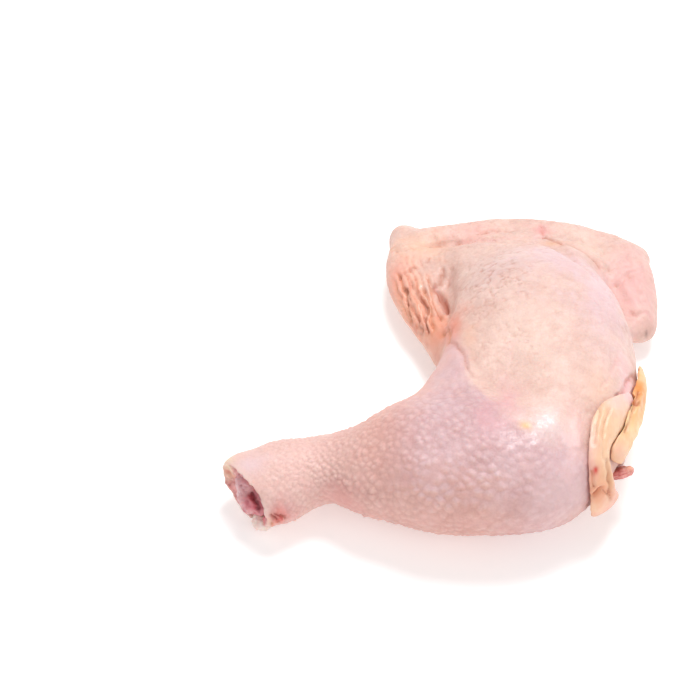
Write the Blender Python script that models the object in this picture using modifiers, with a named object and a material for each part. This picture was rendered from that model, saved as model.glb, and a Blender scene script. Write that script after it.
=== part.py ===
"""Raw chicken leg with the skin on: a drumstick and its thigh, folded at the knee, lying on its flat side.

The leg lies on the plane z = 0 with its skinned outer side up. X runs from the hock towards the knee,
Y from the drumstick towards the hip, Z up. Sizes below are millimetres, and every mesh is metres.
"""

import math

import bmesh
import bpy
import numpy as np
from mathutils import Matrix, Vector
from mathutils.bvhtree import BVHTree

NAME = "raw_chicken_leg"
MM = 0.001
GAP = 0.3  # clear space between two pieces that touch
ORIGIN = (2.5, 22.1)  # the middle of the outline, in the plan that the stations below are drawn in

FLESH_GRID = 1.8  # voxel size of the joined flesh
SKIN_GRID = 1.35  # voxel size once the loose skin is joined on
LEG_TRIANGLES = 8600  # the leg after thinning
LIMB_SIDES = 28  # corners of a limb's oval section, and its sections between two stations
LIMB_STEPS = 5
BONE_SIDES = 14
BONE_STEPS = 2
SHANK_TO_CALF = (-27, 9)  # x from where to where the flesh grows softer, and how soft the shank is
SHANK_SOFTNESS = 0.15
FLESH_ROUNDS = 60  # rounds of smoothing: of the flesh, of the skin, and of the folds in it
SKIN_ROUNDS = 10
FOLD_ROUNDS = 2
STRIP_POINTS = 9  # points across a strip, on each of its faces
STRIP_STEPS = 3
STRIP_EDGE = 0.25  # thickness of a strip's edge, as a share of its middle
LEVEL = 0.5  # skin this near the plane below is pressed flat on it by the leg's weight
END_ANGLES = (20, 40, 60, 75)  # where the sections of a rounded end lie, in degrees
SHARP = 40  # degrees between faces from which an edge stays sharp

# Stations of each limb: x, y, z of the middle, half width, half height, tilt of the width in degrees
DRUMSTICK = (
    (-70.7, -28.6, 14.4, 11.7, 10.8, 0),
    (-68.4, -29.4, 14, 16, 13.1, 0),
    (-63, -30.4, 14, 17.3, 13.7, 0),
    (-54.9, -28.4, 14.4, 16.2, 12.8, 0),
    (-45.9, -25.4, 15.3, 13.3, 11.7, 0),
    (-38.7, -25, 16.2, 13.9, 12.2, 0),
    (-31.5, -26.3, 17.6, 17.1, 14.4, 0),
    (-23.9, -27.4, 18.9, 20.3, 17.1, 0),
    (-16.2, -26.8, 20.2, 23.9, 19.4, 0),
    (-7.2, -27, 21.6, 27.6, 21.6, 0),
    (5.4, -27.4, 22.5, 29.1, 22.9, 0),
    (18, -28.2, 22.9, 28.8, 23.4, 0),
    (30.6, -27.9, 22.5, 27.9, 22.9, 0),
    (40.5, -24.8, 21.2, 24.1, 21.2, 0),
    (49.5, -20.2, 19.4, 18.4, 18, 0),
)
CALF_WEB = (
    (-12, -29, 18, 11.5, 12.6, 0),
    (-2.4, -19, 19.8, 11.8, 15.3, 0),
    (6.3, -1.8, 20.7, 17.1, 18, 0),
    (18.9, 13.5, 21.6, 18.9, 18.9, 0),
    (27, 25.2, 21.6, 19.8, 18.9, 0),
)
SIDE_FLAP = (
    (3.6, 28.4, 12.6, 5.6, 8.1, -15),
    (0, 41.4, 11.7, 8.1, 8.1, -12),
    (-4.5, 54, 11.7, 11.2, 8.6, -10),
    (-7, 68.4, 10.8, 13.8, 8.1, -8),
    (-5, 81, 9, 14.9, 7.2, -8),
    (-2.7, 90, 7.2, 12.6, 5.4, -8),
)
REAR_ROLL = (
    (-13.5, 86.4, 8.1, 5.4, 5.4, 0),
    (-5.4, 88.2, 9.9, 7.2, 6.3, 0),
    (7.2, 89.1, 10.8, 8.1, 6.3, 0),
    (23.4, 90.9, 11.7, 8.1, 6.3, 0),
    (39.6, 90.9, 11.7, 8.1, 6.3, 0),
    (54, 89.1, 10.8, 8.1, 6.3, 0),
    (66.6, 86.4, 9, 8.1, 5.4, 0),
    (77.6, 80.9, 7.2, 8.1, 5.9, 0),
)
OUTER_FLAP = (
    (71.1, 80.1, 9.9, 10.8, 8.1, 20),
    (73.4, 71.1, 10.8, 10.8, 8.6, 20),
    (74.2, 59.4, 10.8, 10.3, 8.1, 20),
    (74.4, 46.5, 9.9, 8.8, 7.2, 20),
)
# Rounded masses: x, y, z of the middle, half length along x, y and z
THIGH = (36, 27.9, 21.2, 36, 45, 22.9)
KNEE = (41.4, -5.4, 21.2, 28.8, 36, 22.5)
KNEE_TO_THIGH = (43.2, 10.8, 21.2, 29.7, 39.6, 22.9)
HIP = (32.4, 68.4, 11.7, 39.6, 23.4, 14.4)
THIGH_SIDE = (54, 23.4, 12.6, 19.8, 39.6, 13.5)
FLAP_CORNER = (-12.2, 91.4, 7.6, 7.4, 9, 6.6)

# Folds in the skin: half width and depth of the valley, height of the lip on its left, and its path in plan
FOLDS = (
    (2.3, 1.1, 0.8, ((19.8, -21.6), (16.2, -10.8), (13.5, -2.7), (10.8, 3.6), (7.2, 13.5), (2.7, 20.7))),
    (2.2, 2.3, 0, ((4.5, 72), (3.6, 63), (0.9, 54.9), (1.8, 45), (3.6, 34.2))),
    (2.1, 2, 0, ((-5.4, 75.6), (-8.1, 62.1), (-7.2, 51.3), (-3.6, 41.4))),
    (2, 1.6, 0, ((-9.9, 73.8), (-12.6, 61.2), (-12.6, 51.3), (-9, 42.3))),
    (1.8, 1.3, 0, ((-15.3, 70.2), (-17.1, 61.2), (-15.3, 52.2))),
    (2.2, 2.2, 0.7, ((54, 52), (50, 63), (46, 73), (40, 77.5), (27, 79), (13, 82), (-2, 84.5), (-11, 85.5))),
    (2.2, 1.8, 0, ((55.8, 72), (63, 63), (69.3, 52.2), (72, 41.4))),
    (1.8, 1.3, 0, ((66.6, 81), (72, 72), (75.6, 59.4))),
)

# The cut at the hock: the middle of the cut face, the way it faces, and a level line across it
CUT_MIDDLE = Vector((-68.6, -37.6, 14.0))
CUT_FACING = Vector((-0.8, -0.6, 0.02)).normalized()
CUT_ACROSS = Vector((0.6, -0.8, 0.0))

# The bone from the cut to the knee, as stations like those above
SHANK_BONE = (
    (-67.9, -36.4, 13.1, 5.8, 5.2, 0),
    (-63, -33.8, 13.5, 5, 4.7, 0),
    (-55.8, -30.2, 14, 4.1, 4, 0),
    (-43.2, -26.6, 15.8, 3.8, 3.6, 0),
    (-25.2, -26.6, 18, 4.1, 4, 0),
    (-3.6, -27, 19.8, 4.7, 4.5, 0),
    (10.8, -27.4, 20.7, 5.8, 5.4, 0),
)
# Rounded forms in the cut: place across, up and out of the cut face, and half sizes the same way
CUT_BOWL = (-3.2, -0.2, 0, 11.6, 8.4, 5.4)
BONE_KNUCKLES = (
    (-4.2, 1.9, -2, 5.4, 4.8, 4),
    (2, -1.7, -2, 5, 4.5, 3.9),
)
TENDON_END = (4.7, -9, -2.3, 4.1, 3.4, 4.1)

# Strips of fat on the knee's outer side: x, y, z of the middle line, half width, thickness and
# clearance of the skin
FAT_FRONT = (
    (67.5, -4.5, 31, 2.4, 1, 0),
    (63.5, -11, 34, 4.6, 1.8, 0),
    (59.5, -17, 36, 6.2, 2.5, 0),
    (56, -23, 36.6, 6, 2.8, 0),
    (53.4, -30.5, 35.4, 5, 3, 0),
    (53, -36.5, 31.5, 6, 3.1, 0),
    (54.8, -40.5, 23.5, 6.8, 3.1, 0.4),
    (57.4, -40.6, 15, 6.6, 2.8, 1.6),
    (60.4, -39.2, 8.8, 6, 2.2, 2.6),
)
FAT_REAR = (
    (74.4, 16.6, 20, 3, 1.8, 0),
    (71.7, 6.5, 23, 5, 3, 0),
    (69.4, -1.8, 25, 6, 3.4, 0),
    (66.2, -10.9, 28, 6.4, 3.2, 0),
    (62.4, -20, 30, 6.4, 2.9, 0),
    (60, -27, 29, 6, 2.6, 0),
    (59.4, -31, 27, 4, 2, 0),
)
# A torn scrap of meat below the strips, as stations like those of the limbs
MEAT_TAG = (
    (57.8, -30, 19, 3, 2, 50),
    (61, -29.4, 18.4, 4.6, 2.3, 60),
    (64.4, -28.4, 18, 4.3, 1.9, 65),
    (66.8, -27.6, 18.2, 2.4, 1, 65),
)

# Colour and roughness of each piece
FINISHES = {
    "leg": ((0.88, 0.63, 0.56), 0.38),
    "shank_bone": ((0.78, 0.50, 0.48), 0.35),
    "hock_tendon": ((0.85, 0.76, 0.68), 0.35),
    "fat_front": ((0.93, 0.68, 0.47), 0.35),
    "fat_rear": ((0.93, 0.60, 0.33), 0.35),
    "meat_tag": ((0.76, 0.30, 0.28), 0.35),
}


def spline(rows, steps):
    """Points along a smooth curve through every row, steps of them to each span."""
    rows = np.array(rows, float)
    padded = np.vstack([2 * rows[0] - rows[1], rows, 2 * rows[-1] - rows[-2]])
    t = np.arange(steps)[:, None] / steps
    spans = []
    for a, b, c, d in zip(padded, padded[1:], padded[2:], padded[3:]):
        bend = 2 * a - 5 * b + 4 * c - d
        twist = 3 * b - a - 3 * c + d
        spans.append(b + 0.5 * ((c - a) * t + bend * t**2 + twist * t**3))
    return np.vstack([*spans, rows[-1:]])


def limb(name, stations, grow=0.0, sides=LIMB_SIDES, steps=LIMB_STEPS):
    """A closed tube of oval sections with rounded ends, as a new object."""
    rows = spline(stations, steps)
    middle = rows[:, :3] * MM
    along = np.gradient(middle, axis=0)
    along /= np.linalg.norm(along, axis=1)[:, None]
    rings = []
    for point, way, (wide, high, tilt) in zip(middle, along, rows[:, 3:]):
        rings.append((Vector(point), Vector(way), (wide + grow) * MM, (high + grow) * MM, math.radians(tilt)))
    rings = rounded_end(rings[0], -1)[::-1] + rings + rounded_end(rings[-1], 1)
    bm = bmesh.new()
    loft(bm, [ring_of_points(bm, ring, sides) for ring in rings])
    return object_of(name, bm)


def rounded_end(ring, way):
    """Smaller and smaller rings past one end, like half an egg."""
    point, along, wide, high, tilt = ring
    reach = min(wide, high)
    rings = []
    for angle in END_ANGLES:
        size = math.cos(math.radians(angle))
        offset = along * way * reach * math.sin(math.radians(angle))
        rings.append((point + offset, along, wide * size, high * size, tilt))
    return rings


def ring_of_points(bm, ring, sides):
    """The corners of one oval section."""
    point, along, wide, high, tilt = ring
    side = along.cross(Vector((0, 0, 1))).normalized()
    up = side.cross(along)
    across = side * math.cos(tilt) + up * math.sin(tilt)
    upright = up * math.cos(tilt) - side * math.sin(tilt)
    corners = []
    for i in range(sides):
        angle = 2 * math.pi * i / sides
        offset = across * wide * math.cos(angle) + upright * high * math.sin(angle)
        corners.append(bm.verts.new(point + offset))
    return corners


def loft(bm, loops):
    """Faces from each loop of corners to the next, and one over each end."""
    for near, far in zip(loops, loops[1:]):
        for i in range(len(near)):
            j = (i + 1) % len(near)
            bm.faces.new((near[i], near[j], far[j], far[i]))
    bm.faces.new(loops[0][::-1])
    bm.faces.new(loops[-1])
    bmesh.ops.triangulate(bm, faces=bm.faces)
    bmesh.ops.recalc_face_normals(bm, faces=bm.faces)


def egg(name, middle_and_size):
    """A rounded mass, as a sphere stretched along X, Y and Z."""
    middle = Vector(middle_and_size[:3])
    return stretched_sphere(name, middle, Matrix.Identity(3), middle_and_size[3:], 40, 24)


def stretched_sphere(name, middle, turn, half_sizes, around, upwards):
    """A sphere with this middle, turn and half size along each of its axes."""
    bm = bmesh.new()
    bmesh.ops.create_uvsphere(bm, u_segments=around, v_segments=upwards, radius=MM)
    move = Matrix.LocRotScale(middle * MM, turn.to_quaternion(), half_sizes)
    bmesh.ops.transform(bm, matrix=move, verts=bm.verts)
    return object_of(name, bm)


def object_of(name, bm):
    """An object in the scene that holds this mesh."""
    mesh = bpy.data.meshes.new(name)
    bm.to_mesh(mesh)
    bm.free()
    obj = bpy.data.objects.new(name, mesh)
    bpy.context.scene.collection.objects.link(obj)
    return obj


def apply_modifiers(obj):
    """Replaces the object's mesh by the one that its modifiers make."""
    graph = bpy.context.evaluated_depsgraph_get()
    mesh = bpy.data.meshes.new_from_object(obj.evaluated_get(graph))
    obj.modifiers.clear()
    obj.data = mesh


def combine(obj, other, operation):
    """Joins or cuts the object with another, which is used up."""
    boolean = obj.modifiers.new(other.name, "BOOLEAN")
    boolean.operation = operation
    boolean.solver = "EXACT"
    boolean.object = other
    apply_modifiers(obj)
    bpy.data.objects.remove(other)


def fused(name, pieces, grid):
    """One object made of several overlapping ones, melted into a single skin."""
    bpy.ops.object.select_all(action="DESELECT")
    for piece in pieces:
        piece.select_set(True)
    bpy.context.view_layer.objects.active = pieces[0]
    bpy.ops.object.join()
    obj = pieces[0]
    obj.name = name
    remesh = obj.modifiers.new("Fuse", "REMESH")
    remesh.mode = "VOXEL"
    remesh.voxel_size = grid * MM
    apply_modifiers(obj)
    return obj


def places(obj):
    """The mesh's points, in millimetres."""
    points = np.empty(len(obj.data.vertices) * 3)
    obj.data.vertices.foreach_get("co", points)
    return points.reshape(-1, 3) / MM


def put_places(obj, points):
    """Moves the mesh's points to these, in millimetres."""
    obj.data.vertices.foreach_set("co", (points * MM).ravel())
    obj.data.update()


def relax(obj, rounds, weight=1.0):
    """Draws every point towards the middle of its neighbours, rounds times, by its own weight from 0 to 1."""
    ends = np.empty(len(obj.data.edges) * 2, np.int32)
    obj.data.edges.foreach_get("vertices", ends)
    a, b = ends.reshape(-1, 2).T
    points = places(obj)
    count = len(points)
    share = 0.5 * np.broadcast_to(weight, count) / np.bincount(ends, minlength=count)
    for _ in range(rounds):
        pull = np.empty_like(points)
        for k in range(3):
            away = points[b, k] - points[a, k]
            pull[:, k] = np.bincount(a, away, count) - np.bincount(b, away, count)
        points += pull * share[:, None]
    put_places(obj, points)


def rise(values, low, high):
    """0 below low, 1 above high and a smooth rise between them."""
    t = np.clip((values - low) / (high - low), 0, 1)
    return t * t * (3 - 2 * t)


def fold_in(obj, width, depth, lip, path):
    """Presses a valley into the upper skin along a path in plan, with a raised lip on the path's left."""
    line = spline(path, 8)
    points = places(obj)
    normals = np.empty(len(obj.data.vertices) * 3)
    obj.data.vertices.foreach_get("normal", normals)
    normals = normals.reshape(-1, 3)
    reach = 4 * width
    low, high = line.min(axis=0) - reach, line.max(axis=0) + reach
    near = ((points[:, :2] > low) & (points[:, :2] < high)).all(axis=1)
    away = points[near][:, None, :2] - line[None]
    nearest = (away**2).sum(axis=2).argmin(axis=1)
    way = np.gradient(line, axis=0)[nearest]
    away = np.take_along_axis(away, nearest[:, None, None], axis=1)[:, 0]
    distance = np.hypot(*away.T) / width
    left = way[:, 0] * away[:, 1] > way[:, 1] * away[:, 0]
    along = nearest / (len(line) - 1)
    fade = rise(along, 0, 0.2) * (1 - rise(along, 0.8, 1)) * rise(normals[near, 2], 0.0, 0.5)
    valley = -depth * np.exp(-(distance**2))
    ridge = lip * left * distance**2 * np.exp(-0.5 * distance**2)
    points[near] += normals[near] * ((valley + ridge) * fade)[:, None]
    put_places(obj, points)


def settle(obj):
    """Flattens what reaches below the plane that the leg lies on, or nearly touches it."""
    points = places(obj)
    points[points[:, 2] < LEVEL, 2] = 0.0
    put_places(obj, points)


def thin_out(obj, triangles):
    """Brings the mesh down to about this many triangles."""
    obj.data.calc_loop_triangles()
    decimate = obj.modifiers.new("Thin out", "DECIMATE")
    decimate.ratio = triangles / len(obj.data.loop_triangles)
    decimate.use_collapse_triangulate = True
    apply_modifiers(obj)


def flesh():
    """The meat of drumstick, knee and thigh under its skin, as one smooth mass."""
    masses = [
        limb("drumstick", DRUMSTICK),
        limb("calf_web", CALF_WEB),
        egg("thigh", THIGH),
        egg("knee", KNEE),
        egg("knee_to_thigh", KNEE_TO_THIGH),
        egg("hip", HIP),
        egg("thigh_side", THIGH_SIDE),
    ]
    mass = fused("flesh", masses, FLESH_GRID)
    towards_knee = rise(places(mass)[:, 0], *SHANK_TO_CALF)
    relax(mass, FLESH_ROUNDS, SHANK_SOFTNESS + (1 - SHANK_SOFTNESS) * towards_knee)
    return mass


def skinned_leg():
    """Thigh and drumstick with their loose skin and its folds, before the hock is cut."""
    loose_skin = [
        limb("side_flap", SIDE_FLAP),
        limb("rear_roll", REAR_ROLL),
        limb("outer_flap", OUTER_FLAP),
        egg("flap_corner", FLAP_CORNER),
    ]
    leg = fused("leg", [flesh(), *loose_skin], SKIN_GRID)
    relax(leg, SKIN_ROUNDS)
    for fold in FOLDS:
        fold_in(leg, *fold)
    relax(leg, FOLD_ROUNDS)
    settle(leg)
    thin_out(leg, LEG_TRIANGLES)
    settle(leg)
    return leg


def in_cut(across, up, out):
    """The place that lies so far across, up and out of the cut face at the hock."""
    upward = CUT_FACING.cross(CUT_ACROSS)
    return CUT_MIDDLE + CUT_ACROSS * across + upward * up + CUT_FACING * out


def egg_in_cut(name, place_and_size, grow=0.0):
    """A rounded mass whose place and half sizes are given across, up and out of the cut face."""
    turn = Matrix((CUT_ACROSS, CUT_FACING.cross(CUT_ACROSS), CUT_FACING)).transposed()
    half_sizes = [value + grow for value in place_and_size[3:]]
    return stretched_sphere(name, in_cut(*place_and_size[:3]), turn, half_sizes, 20, 12)


def cut_hock(leg):
    """Slices the shank off at the hock, through a plane, and closes the slice."""
    bm = bmesh.new()
    bm.from_mesh(leg.data)
    geometry = bm.verts[:] + bm.edges[:] + bm.faces[:]
    middle = CUT_MIDDLE * MM
    bmesh.ops.bisect_plane(bm, geom=geometry, plane_co=middle, plane_no=CUT_FACING, clear_outer=True)
    rim = [edge for edge in bm.edges if edge.is_boundary]
    bmesh.ops.contextual_create(bm, geom=rim)
    bmesh.ops.triangulate(bm, faces=[face for face in bm.faces if len(face.verts) > 4])
    bm.to_mesh(leg.data)
    bm.free()


def bone(name, grow=0.0):
    """The shank's bone with its knuckles at the cut, or the room that it needs."""
    obj = limb(name, SHANK_BONE, grow, BONE_SIDES, BONE_STEPS)
    for knuckle in BONE_KNUCKLES:
        combine(obj, egg_in_cut("knuckle", knuckle, grow), "UNION")
    return obj


def strip(name, skin, stations, grow=0.0):
    """A flat strip that follows the skin, as a loft of low rounded sections, or the room that it needs."""
    rows = spline(stations, STRIP_STEPS)
    ways = np.gradient(rows[:, :3], axis=0)
    ways /= np.linalg.norm(ways, axis=1)[:, None]
    rows[0, :3] -= ways[0] * 2 * grow
    rows[-1, :3] += ways[-1] * 2 * grow
    bm = bmesh.new()
    loops = []
    for (x, y, z, wide, thick, clear), way in zip(rows, ways):
        spot, out, _, _ = skin.find_nearest(Vector((x, y, z)) * MM)
        side = Vector(way).cross(out).normalized()
        under, over = [], []
        for share in np.linspace(-1, 1, STRIP_POINTS):
            place, lift, _, _ = skin.find_nearest(spot + side * share * (wide + grow) * MM)
            height = thick * (STRIP_EDGE + (1 - STRIP_EDGE) * math.sqrt(1 - share * share))
            under.append(bm.verts.new(place + lift * (GAP + clear - grow) * MM))
            over.append(bm.verts.new(place + lift * (GAP + clear + height + grow) * MM))
        loops.append(under + over[::-1])
    loft(bm, loops)
    return object_of(name, bm)


def build_pieces():
    """Every piece of the leg, each clear of the others by the gap."""
    leg = skinned_leg()
    cut_hock(leg)
    combine(leg, egg_in_cut("bowl", CUT_BOWL), "DIFFERENCE")
    combine(leg, bone("bone_room", GAP), "DIFFERENCE")
    combine(leg, egg_in_cut("tendon_room", TENDON_END, GAP), "DIFFERENCE")
    skin = BVHTree.FromObject(leg, bpy.context.evaluated_depsgraph_get())
    front = strip("fat_front", skin, FAT_FRONT)
    rear = strip("fat_rear", skin, FAT_REAR)
    combine(rear, strip("front_room", skin, FAT_FRONT, GAP), "DIFFERENCE")
    tag = limb("meat_tag", MEAT_TAG, sides=BONE_SIDES, steps=BONE_STEPS)
    combine(tag, strip("front_room", skin, FAT_FRONT, GAP), "DIFFERENCE")
    combine(tag, strip("rear_room", skin, FAT_REAR, GAP), "DIFFERENCE")
    combine(leg, limb("tag_room", MEAT_TAG, GAP, BONE_SIDES, BONE_STEPS), "DIFFERENCE")
    tendon = egg_in_cut("hock_tendon", TENDON_END)
    combine(tendon, bone("bone_room", GAP), "DIFFERENCE")
    return [leg, bone("shank_bone"), tendon, front, rear, tag]


def dress(obj, colour, roughness):
    """Gives the piece one plain material and smooth shading."""
    material = bpy.data.materials.new(obj.name)
    material.use_nodes = True
    shader = material.node_tree.nodes["Principled BSDF"]
    shader.inputs["Base Color"].default_value = (*colour, 1.0)
    shader.inputs["Roughness"].default_value = roughness
    shader.inputs["Metallic"].default_value = 0.0
    obj.data.materials.clear()
    obj.data.materials.append(material)
    obj.data.shade_smooth()
    obj.data.set_sharp_from_angle(angle=math.radians(SHARP))


def main():
    for obj in list(bpy.data.objects):
        bpy.data.objects.remove(obj)
    pieces = build_pieces()
    collection = bpy.data.collections.new(NAME)
    bpy.context.scene.collection.children.link(collection)
    for obj in pieces:
        obj.data.transform(Matrix.Translation((-ORIGIN[0] * MM, -ORIGIN[1] * MM, 0)))
        dress(obj, *FINISHES[obj.name])
        collection.objects.link(obj)
        bpy.context.scene.collection.objects.unlink(obj)


main()
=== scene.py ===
"""The looks of a raw chicken leg: its skin, the cut hock, two strips of fat and a torn scrap of meat.

Lengths are millimetres unless a name says otherwise, and every mesh is metres. Places are given in the plan
that the solids were drawn in: X from the hock towards the knee, Y from the drumstick towards the hip, Z up,
with ORIGIN below where the part's own origin lies.
"""

from __future__ import annotations

import logging
import math
from dataclasses import dataclass
from enum import Enum

import bpy
import numpy as np
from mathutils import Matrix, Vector, noise

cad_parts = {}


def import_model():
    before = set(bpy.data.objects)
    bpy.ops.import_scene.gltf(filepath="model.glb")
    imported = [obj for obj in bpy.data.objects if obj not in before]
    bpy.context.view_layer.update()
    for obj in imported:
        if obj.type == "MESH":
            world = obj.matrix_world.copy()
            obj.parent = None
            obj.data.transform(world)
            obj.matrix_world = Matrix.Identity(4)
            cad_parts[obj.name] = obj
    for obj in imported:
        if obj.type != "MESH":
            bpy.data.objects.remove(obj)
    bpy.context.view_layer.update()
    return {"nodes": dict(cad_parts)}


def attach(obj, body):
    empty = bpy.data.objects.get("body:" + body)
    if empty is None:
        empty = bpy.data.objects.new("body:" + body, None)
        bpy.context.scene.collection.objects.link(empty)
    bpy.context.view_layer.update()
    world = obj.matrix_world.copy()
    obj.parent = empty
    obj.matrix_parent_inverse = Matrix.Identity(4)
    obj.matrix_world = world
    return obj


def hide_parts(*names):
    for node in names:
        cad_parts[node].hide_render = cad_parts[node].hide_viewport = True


log = logging.getLogger("chicken_leg")

Triple = tuple[float, float, float]
Rows = tuple[tuple[float, ...], ...]

MM = 0.001
ORIGIN = (2.5, 22.1, 0.0)
BODY = "root"
TINT = "tint"
# How many points are measured against a path at once, which keeps the memory small
BATCH = 20000
# The axes of the plan, and of the plane that faces a viewer who looks from the front, 50 degrees down
PLAN: tuple[Triple, Triple] = ((1.0, 0.0, 0.0), (0.0, 1.0, 0.0))
SLANT: tuple[Triple, Triple] = ((1.0, 0.0, 0.0), (0.0, 0.766, 0.643))

# The drumstick's middle line and size: x, y, z, half width, half height
LIMB: Rows = (
    (-75, -27, 14.4, 11, 11),
    (-63, -31.1, 14, 15.5, 13),
    (-45.9, -25.4, 15.3, 13, 11.7),
    (-31.5, -26.3, 17.6, 17.1, 14.4),
    (-16.2, -26.8, 20.2, 23.9, 19.4),
    (5.4, -27.4, 22.5, 29.1, 22.9),
    (30.6, -27.9, 22.5, 27.9, 22.9),
    (49.5, -20.2, 19.4, 18.4, 18),
    (70, -12, 19, 12, 14),
)
# Where the drumstick's skin meets the thigh's, from the crotch to the knee, in plan
SEAM: Rows = (
    (-14, 30), (3, 22), (7.6, 15), (9.5, 8.3), (10.6, -2), (14.2, -13), (20, -20), (26, -25.5),
    (35, -31), (44, -33), (52, -36), (64, -40),
)
# The loose left edge of the thigh's skin, in plan
FLAP_EDGE: Rows = (
    (-18.7, 76), (-17.7, 67.1), (-15.8, 59.9), (-13.7, 53.3), (-10.7, 46.7), (-7.1, 39), (-3, 30),
)
# The cut at the hock: the middle of the cut face, the way it faces, and a level line across it
CUT_MIDDLE = np.array((-68.6, -37.6, 14.0))
CUT_FACING = np.array((-0.8, -0.6, 0.02)) / math.hypot(0.8, 0.6, 0.02)
CUT_ACROSS = np.array((0.6, -0.8, 0.0))
CUT_UP = np.cross(CUT_FACING, CUT_ACROSS)


def srgb(red: int, green: int, blue: int) -> Triple:
    """A colour as picked on a screen, from 0 to 255, as the linear one that a shader takes."""

    def linear(level: int) -> float:
        share = level / 255
        return share / 12.92 if share <= 0.04045 else ((share + 0.055) / 1.055) ** 2.4

    return linear(red), linear(green), linear(blue)


def rise(values: np.ndarray, low: float, high: float) -> np.ndarray:
    """A smooth step.

    Args:
        values: what is stepped.
        low: where the step begins.
        high: where it ends. It may be less than low.

    Returns:
        0 at low and before it, 1 at high and past it.
    """
    share = np.clip((values - low) / (high - low), 0.0, 1.0)
    return share * share * (3 - 2 * share)


def cloud(points: np.ndarray, size: float, seed: int) -> np.ndarray:
    """Soft noise over points in space.

    Args:
        points: one row a point.
        size: how large the noise's lumps are.
        seed: which noise it is.

    Returns:
        A value from about -1 to 1 for each point.
    """
    moved = points / size + np.array((17.3, 5.1, 9.7)) * seed
    return np.array([noise.noise(place) for place in moved.tolist()])


def spline(rows: Rows, steps: int = 8) -> np.ndarray:
    """A smooth curve through every row.

    Args:
        rows: places, with any further sizes beside them.
        steps: how many points each span is given.

    Returns:
        One row a point along the curve.
    """
    knots = np.array(rows, float)
    padded = np.vstack([2 * knots[0] - knots[1], knots, 2 * knots[-1] - knots[-2]])
    t = np.arange(steps)[:, None] / steps
    spans = []
    for a, b, c, d in zip(padded, padded[1:], padded[2:], padded[3:]):
        bend = 2 * a - 5 * b + 4 * c - d
        twist = 3 * b - a - 3 * c + d
        spans.append(b + 0.5 * ((c - a) * t + bend * t**2 + twist * t**3))
    return np.vstack([*spans, knots[-1:]])


@dataclass
class Along:
    """How points lie beside a path: their distance from it, on which side, and how far along."""

    distance: np.ndarray
    left: np.ndarray
    share: np.ndarray


def beside(points: np.ndarray, line: np.ndarray) -> Along:
    """Measures points against a path.

    Args:
        points: one row a point, in as many dimensions as the line.
        line: the points along the path.

    Returns:
        For each point its distance, 1 on the path's left in plan and 0 on its right, and the share of the
        path that it lies past.
    """
    nearest = np.empty(len(points), int)
    for start in range(0, len(points), BATCH):
        batch = slice(start, start + BATCH)
        nearest[batch] = ((points[batch, None] - line[None]) ** 2).sum(axis=2).argmin(axis=1)
    away = points - line[nearest]
    way = np.gradient(line, axis=0)[nearest]
    left = way[:, 0] * away[:, 1] > way[:, 1] * away[:, 0]
    return Along(np.linalg.norm(away, axis=1), left.astype(float), nearest / (len(line) - 1))


class Relief:
    """A mesh that is carved point by point, in millimetres of the plan."""

    def __init__(self, obj: bpy.types.Object) -> None:
        """Reads the object's points and edges."""
        self.obj = obj
        mesh = obj.data
        flat = np.empty(len(mesh.vertices) * 3)
        mesh.vertices.foreach_get("co", flat)
        self.points = flat.reshape(-1, 3) / MM + ORIGIN
        ends = np.empty(len(mesh.edges) * 2, np.int32)
        mesh.edges.foreach_get("vertices", ends)
        self.ends = ends.reshape(-1, 2).T
        self.degree = np.bincount(ends, minlength=len(self.points))
        self.write()

    def write(self) -> None:
        """Puts the points back in the mesh, and measures the normal at each of them."""
        mesh = self.obj.data
        mesh.vertices.foreach_set("co", ((self.points - ORIGIN) * MM).ravel())
        mesh.update()
        flat = np.empty(len(self.points) * 3)
        mesh.vertices.foreach_get("normal", flat)
        self.normals = flat.reshape(-1, 3)

    def lift(self, amount: np.ndarray) -> None:
        """Moves each point out along its normal by its own amount."""
        self.points += self.normals * amount[:, None]
        self.write()

    def settle(self) -> None:
        """Lifts to the floor what has come to lie below it."""
        self.points[:, 2] = np.maximum(self.points[:, 2], 0.0)
        self.write()

    def relaxed(self, rounds: int, weight: np.ndarray | float = 1.0) -> np.ndarray:
        """Where the points would lie if each were drawn towards the middle of its neighbours.

        Args:
            rounds: how often they are drawn.
            weight: how far each point follows, from 0 to 1.

        Returns:
            The new place of each point.
        """
        a, b = self.ends
        points = self.points.copy()
        share = 0.5 * np.broadcast_to(weight, len(points)) / self.degree
        for _ in range(rounds):
            pull = np.empty_like(points)
            for k in range(3):
                away = points[b, k] - points[a, k]
                pull[:, k] = np.bincount(a, away, len(points)) - np.bincount(b, away, len(points))
            points += pull * share[:, None]
        return points

    def relax(self, rounds: int, weight: np.ndarray | float = 1.0) -> None:
        """Smooths the mesh, as relaxed says."""
        self.points = self.relaxed(rounds, weight)
        self.write()

    def hollow(self, rounds: int) -> np.ndarray:
        """How deep each point lies in a valley, in millimetres: less than 0 on a ridge."""
        return ((self.relaxed(rounds) - self.points) * self.normals).sum(axis=1)

    def mark(self, name: Mark, values: np.ndarray) -> None:
        """Keeps one number a point on the mesh, for a material to read."""
        attribute = self.obj.data.attributes.new(name.value, "FLOAT", "POINT")
        attribute.data.foreach_set("value", np.ascontiguousarray(values, np.float32))

    def tint(self, colours: np.ndarray) -> None:
        """Keeps a colour a point on the mesh, and how opaque it is, for a material to read."""
        attribute = self.obj.data.attributes.new(TINT, "FLOAT_COLOR", "POINT")
        attribute.data.foreach_set("color", np.ascontiguousarray(colours, np.float32).ravel())


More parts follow.
